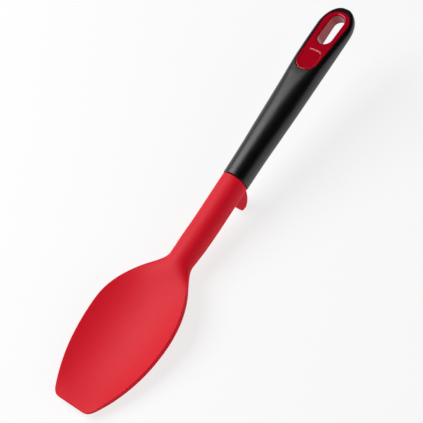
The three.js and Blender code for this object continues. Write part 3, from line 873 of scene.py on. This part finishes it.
class InsertPlan:
    """Where the plate, slot, eyelet, peg and thumb pad of the hanging insert lie."""

    def __init__(self, tool):
        size = tool.insert
        self.size = size
        self.flat_from = tool.handle.handle_length - tool.handle.flat_length
        self.flat_height = tool.handle.flat_height
        self.fall = math.tan(tool.handle.flat_slope)
        self.to = tool.handle.handle_length - size.margin
        self.start = self.to - size.plate_length
        self.slot_to = self.to - size.slot_margin
        self.slot_from = self.slot_to - size.slot_length
        self.slot_half = size.slot_width / 2
        lean_in = ((size.slot_width + 2 * size.eyelet_wall) / tool.handle.width) ** 2
        self.eyelet_end = -tool.handle.butt_back * math.sqrt(1 - lean_in)
        self.under = size.recess + size.thickness
        self.peg_at = self.start + size.narrow / 2
        self.peg_end = self.flat_at(self.peg_at) - self.under - size.peg_length

    def flat_at(self, place):
        """Height of the sloping flat at a place."""
        return self.flat_height - self.fall * (place - self.flat_from)

    def laid(self, outline, depth):
        """An outline laid a depth under the sloping flat."""
        return [Vector((x, y, self.flat_at(x) - depth)) for x, y in outline]

    def level(self, outline, height):
        """An outline at one height."""
        return [Vector((x, y, height)) for x, y in outline]

    def plate(self, grow=0.0):
        """Outline of the plate."""
        return oval(self.start, self.to, self.size.narrow / 2, self.size.wide / 2, grow)

    def slot(self, grow=0.0):
        """Outline of the slot, or of the eyelet round it."""
        return oval(self.slot_from, self.slot_to, self.slot_half, self.slot_half, grow)

    def pad(self, grow):
        """Outline of the thumb pad: round towards the head, straight towards the slot, soft corners."""
        half = self.size.narrow / 2 - self.size.pad_border + grow
        soft = self.size.pad_corner + grow
        x = self.start + self.size.pad_length + grow - soft
        y = half - soft
        quarter = math.pi / 2
        points = arc(self.start + self.size.narrow / 2, 0, half, quarter, 3 * quarter, HALF_STEPS)
        points += arc(x, -y, soft, -quarter, 0, QUARTER_STEPS)
        return points + arc(x, y, soft, 0, quarter, QUARTER_STEPS)


# Finishes

class Value:
    """A socket of a node tree. Arithmetic on it adds Math nodes."""

    def __init__(self, tree, socket):
        self.tree = tree
        self.socket = socket

    def output(self, name):
        """Another output of the same node."""
        return Value(self.tree, self.socket.node.outputs[name])

    def math(self, operation, first, second):
        """A Math node on two values."""
        return self.tree.node("ShaderNodeMath", {"operation": operation}, {0: first, 1: second})

    def __add__(self, other):
        return self.math("ADD", self, other)

    def __radd__(self, other):
        return self.math("ADD", other, self)

    def __sub__(self, other):
        return self.math("SUBTRACT", self, other)

    def __rsub__(self, other):
        return self.math("SUBTRACT", other, self)

    def __mul__(self, other):
        return self.math("MULTIPLY", self, other)

    def __rmul__(self, other):
        return self.math("MULTIPLY", other, self)

    def __or__(self, other):
        return self.math("MAXIMUM", self, other)

    def __ror__(self, other):
        return self.math("MAXIMUM", other, self)


class Tree:
    """The node tree of a material or of the world, emptied for new nodes."""

    def __init__(self, owner):
        owner.use_nodes = True
        self.tree = owner.node_tree
        self.tree.nodes.clear()

    def node(self, kind, settings=None, inputs=None):
        """Adds a node, sets it, then its sockets' values or links, and gives its first output."""
        node = self.tree.nodes.new(kind)
        for name, value in (settings or {}).items():
            if name == "stops":
                for element, (place, grey) in zip(node.color_ramp.elements, value):
                    element.position = place
                    element.color = (grey, grey, grey, 1)
            else:
                setattr(node, name, value)
        for key, value in (inputs or {}).items():
            if isinstance(key, int):
                socket = node.inputs[key]
            else:
                socket = next(entry for entry in node.inputs if entry.enabled and entry.name == key)
            if isinstance(value, Value):
                self.tree.links.new(value.socket, socket)
            else:
                socket.default_value = value
        given = [entry for entry in node.outputs if entry.enabled]
        return Value(self, given[0]) if given else None

    def place(self):
        """Object coordinates."""
        return self.node("ShaderNodeTexCoord").output("Object")

    def drawn_out(self, place, part):
        """Coordinates that draw a pattern out along the tool, to a part of its scale there."""
        return self.node("ShaderNodeMapping", {}, {"Vector": place, "Scale": (part, 1, 1)})

    def noise(self, place, scale, detail):
        """Soft noise from 0 to 1."""
        return self.node("ShaderNodeTexNoise", {}, {"Vector": place, "Scale": scale, "Detail": detail})

    def mix(self, part, first, second):
        """A colour between two colours."""
        inputs = {"Factor": part, "A": first, "B": second}
        return self.node("ShaderNodeMix", {"data_type": "RGBA"}, inputs)

    def bump(self, height, strength, distance):
        """A normal from a height."""
        inputs = {"Height": height, "Strength": strength, "Distance": distance}
        return self.node("ShaderNodeBump", {}, inputs)

    def surface(self, shader):
        """Ends the tree with a surface."""
        self.node("ShaderNodeOutputMaterial", {}, {"Surface": shader})

    def moulded(self, base, rough, normal, ior=1.5):
        """Ends the tree with the surface of a moulded plastic or rubber."""
        inputs = {"Base Color": base, "Roughness": rough, "IOR": ior, "Normal": normal}
        self.surface(self.node("ShaderNodeBsdfPrincipled", {}, inputs))


def tone(base, factor):
    """A colour made lighter or darker, with its alpha."""
    return tuple(min(1.0, channel * factor) for channel in base) + (1.0,)


def new_material(name):
    """A new material and its empty tree."""
    material = bpy.data.materials.new(name)
    return material, Tree(material)


def silicone_finish(finish):
    """Matte red silicone: faint clouds in the colour, a patchy bloom and a fine blasted grain."""
    material, tree = new_material("silicone_red")
    place = tree.place()
    clouds = tree.noise(place, scale=38, detail=3)
    patches = tree.noise(place, scale=320, detail=4)
    grain = tree.noise(place, scale=2600, detail=2)
    base = tree.mix(clouds, tone(finish.silicone, 0.95), tone(finish.silicone, 1.05))
    rough = finish.silicone_rough - 0.05 + patches * 0.1
    tree.moulded(base, rough, tree.bump(grain, strength=0.1, distance=0.00006), ior=1.42)
    return material


def nylon_finish(finish):
    """Glass-filled nylon: near black, with pale fibre flecks and a dry surface."""
    material, tree = new_material("core_nylon")
    fibres = tree.noise(tree.drawn_out(tree.place(), 0.25), scale=2400, detail=1)
    flecks = tree.node("ShaderNodeValToRGB", {"stops": [(0.6, 0), (0.72, 1)]}, {"Fac": fibres})
    base = tree.mix(flecks, tone(finish.nylon, 1), tone(finish.nylon, 2.6))
    rough = finish.nylon_rough - flecks * 0.12
    tree.moulded(base, rough, tree.bump(fibres, strength=0.2, distance=0.00008))
    return material


def handle_finish(finish):
    """Satin black plastic with the fine grain of its mould."""
    material, tree = new_material("handle_black")
    place = tree.place()
    patches = tree.noise(place, scale=120, detail=3)
    grain = tree.noise(place, scale=1300, detail=5)
    base = tree.mix(patches, tone(finish.handle, 0.8), tone(finish.handle, 1.2))
    rough = finish.handle_rough - 0.04 + patches * 0.08
    tree.moulded(base, rough, tree.bump(grain, strength=0.5, distance=0.00013), ior=1.58)
    return material


def insert_finish(finish):
    """Glossy deep-red plastic with a faint ripple of the moulding and hairline wear."""
    material, tree = new_material("insert_red")
    place = tree.place()
    ripple = tree.noise(place, scale=140, detail=2)
    wear = tree.noise(tree.drawn_out(place, 0.2), scale=900, detail=4)
    base = tree.mix(ripple, tone(finish.insert, 0.94), tone(finish.insert, 1.06))
    rough = finish.insert_rough - 0.02 + wear * 0.05
    tree.moulded(base, rough, tree.bump(ripple, strength=0.02, distance=0.0002), ior=1.43)
    return material


def floor_finish(stage):
    """Pale floor that shows as white, with a faint shadow under the tool."""
    material, tree = new_material("floor_white")
    rays = tree.node("ShaderNodeLightPath")
    mirrored = rays.output("Is Glossy Ray") | rays.output("Is Transmission Ray")
    seen = rays.output("Is Camera Ray") | mirrored
    matte = tree.node("ShaderNodeBsdfDiffuse", {}, {"Color": tone(stage.floor, 1)})
    white = tree.node("ShaderNodeEmission", {}, {"Color": (1, 1, 1, 1), "Strength": 1})
    tree.surface(tree.node("ShaderNodeMixShader", {}, {0: seen * stage.glow, 1: matte, 2: white}))
    return material


# Operators

class SPATULA_OT_head(bpy.types.Operator):
    """Model the silicone head: neck, spoon bowl, rest hook and the room for the core"""

    bl_idname = "spatula.head"
    bl_label = "Silicone head"

    def execute(self, context):
        tool = context.scene.spatula
        piece = loft("head_moulding", HeadForm(tool).rings())
        combine(piece, loft("hook", hook_rings(tool)), "UNION")
        combine(piece, core_room(tool), "DIFFERENCE")
        finish_piece(piece, tool, "silicone_head", silicone_finish(tool.finish))
        return {"FINISHED"}


class SPATULA_OT_core(bpy.types.Operator):
    """Give the nylon core its finish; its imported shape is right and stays"""

    bl_idname = "spatula.core"
    bl_label = "Nylon core"

    def execute(self, context):
        node = frame["nodes"]["nylon_core"]
        material = nylon_finish(context.scene.spatula.finish)
        for slot in node.material_slots:
            slot.material = material
        return {"FINISHED"}


class SPATULA_OT_handle(bpy.types.Operator):
    """Model the black handle with its socket and the seat for the insert"""

    bl_idname = "spatula.handle"
    bl_label = "Handle"

    def execute(self, context):
        tool = context.scene.spatula
        plan = InsertPlan(tool)
        gap = tool.joint.fit_gap
        bevel = tool.handle.seat_bevel
        piece = loft("handle_moulding", HandleForm(tool).rings())
        arm = tool.core.tang_width / 2 + gap
        rib = tool.core.tang_rib / 2 + gap
        end = tool.core.tang_length + gap
        combine(piece, bar("socket_wide", (-OVERCUT, -arm, -rib), (end, arm, rib)), "DIFFERENCE")
        combine(piece, bar("socket_deep", (-OVERCUT, -rib, -arm), (end, rib, arm)), "DIFFERENCE")
        seat = loft("seat", [
            plan.laid(plan.plate(gap), plan.under + gap),
            plan.laid(plan.plate(gap), bevel * 1.5),
            plan.laid(plan.plate(gap + bevel * 0.4), bevel * 0.6),
            plan.laid(plan.plate(gap + bevel), 0),
            plan.laid(plan.plate(gap + bevel), -OVERCUT),
        ])
        combine(piece, seat, "DIFFERENCE")
        room = plan.slot(tool.insert.eyelet_wall + gap)
        back = -tool.handle.butt_back - OVERCUT
        eyelet_room = loft("eyelet_room", [plan.level(room, back), plan.laid(room, plan.under)])
        combine(piece, eyelet_room, "DIFFERENCE")
        top = plan.flat_at(plan.peg_at) - plan.under
        hole = post("peg_hole", plan.peg_at, 0, tool.insert.peg_radius + gap, plan.peg_end - gap, top)
        combine(piece, hole, "DIFFERENCE")
        finish_piece(piece, tool, "handle_grip", handle_finish(tool.finish))
        return {"FINISHED"}


class SPATULA_OT_insert(bpy.types.Operator):
    """Model the hanging insert: plate, eyelet, peg, slot with its rounded rim, and thumb pad"""

    bl_idname = "spatula.insert"
    bl_label = "Hanging insert"

    def execute(self, context):
        tool = context.scene.spatula
        size = tool.insert
        plan = InsertPlan(tool)
        levels = [plan.laid(plan.plate(), plan.under)]
        for back, depth in reversed(round_over(size.edge_round, EDGE_STEPS)):
            levels.append(plan.laid(plan.plate(-depth), size.recess + back))
        piece = loft("insert_moulding", levels)
        joined = plan.under - OVERLAP
        wall = plan.slot(size.eyelet_wall)
        eyelet = loft("eyelet", [plan.level(wall, plan.eyelet_end), plan.laid(wall, joined)])
        combine(piece, eyelet, "UNION")
        peg_top = plan.flat_at(plan.peg_at) - joined
        combine(piece, post("peg", plan.peg_at, 0, size.peg_radius, plan.peg_end, peg_top), "UNION")
        cut = [plan.level(plan.slot(), plan.eyelet_end - OVERCUT)]
        for out, down in round_over(size.slot_round, QUARTER_STEPS):
            cut.append(plan.laid(plan.slot(out), size.recess + down - RUN_OUT))
        cut.append(plan.laid(plan.slot(size.slot_round), size.recess - OVERCUT))
        combine(piece, loft("slot", cut), "DIFFERENCE")
        pad = []
        for i in range(PAD_STEPS + 1):
            part = i / PAD_STEPS
            down = size.recess + size.pad_depth * (1 - ease(part)) - RUN_OUT
            pad.append(plan.laid(plan.pad(size.pad_step * part), down))
        pad.append(plan.laid(plan.pad(size.pad_step), size.recess - OVERCUT))
        combine(piece, loft("pad", pad), "DIFFERENCE")
        finish_piece(piece, tool, "hang_insert", insert_finish(tool.finish))
        return {"FINISHED"}


class SPATULA_OT_stage(bpy.types.Operator):
    """Set up the floor, the lamps, the surroundings and the camera"""

    bl_idname = "spatula.stage"
    bl_label = "Stage"

    def execute(self, context):
        stage = context.scene.spatula.stage
        self.make_floor(stage)
        self.make_lamp(
            "key_light", stage.key, mirrored=True,
            place=(-0.33, 0.73, 0.91), aim=(-0.33, 0, 0), sizes=(1.1, 0.95),
        )
        self.make_lamp(
            "fill_light", stage.fill, mirrored=False,
            place=(0.2, -2.6, 1.35), aim=(0, 0, 0), sizes=(3, 1.8),
        )
        world = bpy.data.worlds.new("surroundings")
        context.scene.world = world
        tree = Tree(world)
        white = {"Color": (1, 1, 1, 1), "Strength": stage.ambient}
        tree.node("ShaderNodeOutputWorld", {}, {"Surface": tree.node("ShaderNodeBackground", {}, white)})
        self.make_camera(context, stage)
        context.scene.view_settings.view_transform = "Standard"
        return {"FINISHED"}

    def make_floor(self, stage):
        """A wide round floor that rises into a low cove at its edge."""
        bpy.ops.object.select_all(action="DESELECT")
        bpy.ops.mesh.primitive_circle_add(
            vertices=FLOOR_SIDES, radius=FLOOR_RADIUS, fill_type="NGON", enter_editmode=True
        )
        floor = bpy.context.object
        floor.name = "floor"
        bpy.ops.transform.translate(value=(0, 0, -FLOOR_DROP))
        for grow, rise in FLOOR_COVE:
            bpy.ops.mesh.select_all(action="DESELECT")
            shape = bmesh.from_edit_mesh(floor.data)
            for edge in shape.edges:
                edge.select_set(edge.is_boundary)
            bmesh.update_edit_mesh(floor.data)
            bpy.ops.mesh.extrude_edges_move()
            bpy.ops.transform.resize(value=(grow, grow, 1))
            bpy.ops.transform.translate(value=(0, 0, rise))
        bpy.ops.object.mode_set(mode="OBJECT")
        bpy.ops.object.shade_smooth_by_angle(angle=SMOOTH_ANGLE)
        floor.data.materials.append(floor_finish(stage))

    def make_lamp(self, name, watts, place, aim, sizes, mirrored):
        """A flat soft lamp that faces a point on the floor, and that gloss may mirror."""
        bpy.ops.object.select_all(action="DESELECT")
        turn = (Vector(place) - Vector(aim)).to_track_quat("Z", "Y").to_euler()
        bpy.ops.object.light_add(type="AREA", location=place, rotation=turn)
        lamp = bpy.context.object
        lamp.name = name
        lamp.data.shape = "RECTANGLE"
        lamp.data.size = sizes[0]
        lamp.data.size_y = sizes[1]
        lamp.data.energy = watts
        lamp.visible_glossy = mirrored

    def make_camera(self, context, stage):
        """The camera, turned and rolled as for the photograph."""
        flat = math.cos(stage.elevation)
        back = Vector((
            math.sin(stage.azimuth) * flat,
            -math.cos(stage.azimuth) * flat,
            math.sin(stage.elevation),
        ))
        level = Vector((math.cos(stage.azimuth), math.sin(stage.azimuth), 0))
        right = level * math.cos(stage.roll) + back.cross(level) * math.sin(stage.roll)
        turned = Matrix((right, back.cross(right), back)).transposed()
        place = Vector(stage.look_at) + back * stage.distance
        bpy.ops.object.camera_add(location=place, rotation=turned.to_euler())
        camera = bpy.context.object
        camera.name = "camera"
        camera.data.lens = stage.lens
        camera.data.sensor_width = FRAME_WIDTH
        camera.data.clip_start = NEAREST
        context.scene.camera = camera


class SPATULA_PT_panel(bpy.types.Panel):
    """Lists the steps that make the tool, and the sizes and colours that they use"""

    bl_idname = "SPATULA_PT_panel"
    bl_label = "Spoon spatula"
    bl_space_type = "VIEW_3D"
    bl_region_type = "UI"
    bl_category = "Spatula"

    def draw(self, context):
        tool = context.scene.spatula
        for step in STEPS:
            self.layout.operator(step.bl_idname)
        for part in ("joint", "head", "hook", "core", "handle", "insert", "finish", "stage"):
            group = getattr(tool, part)
            box = self.layout.box()
            box.label(text=part.capitalize())
            for name in group.__annotations__:
                box.prop(group, name)


GROUPS = (
    JointSizes, HeadSizes, HookSizes, CoreSizes, HandleSizes, InsertSizes,
    Finishes, StageSettings, Spatula,
)
STEPS = (SPATULA_OT_head, SPATULA_OT_core, SPATULA_OT_handle, SPATULA_OT_insert, SPATULA_OT_stage)
CLASSES = GROUPS + STEPS + (SPATULA_PT_panel,)


def register():
    """Registers the classes and the scene's settings."""
    for entry in CLASSES:
        bpy.utils.register_class(entry)
    bpy.types.Scene.spatula = PointerProperty(type=Spatula)


def unregister():
    """Takes the settings and the classes away again."""
    del bpy.types.Scene.spatula
    for entry in reversed(CLASSES):
        bpy.utils.unregister_class(entry)


def main():
    """Makes the pieces and the stage in order."""
    register()
    bpy.ops.spatula.head()
    bpy.ops.spatula.core()
    bpy.ops.spatula.handle()
    bpy.ops.spatula.insert()
    bpy.ops.spatula.stage()


if __name__ == "__main__":
    main()
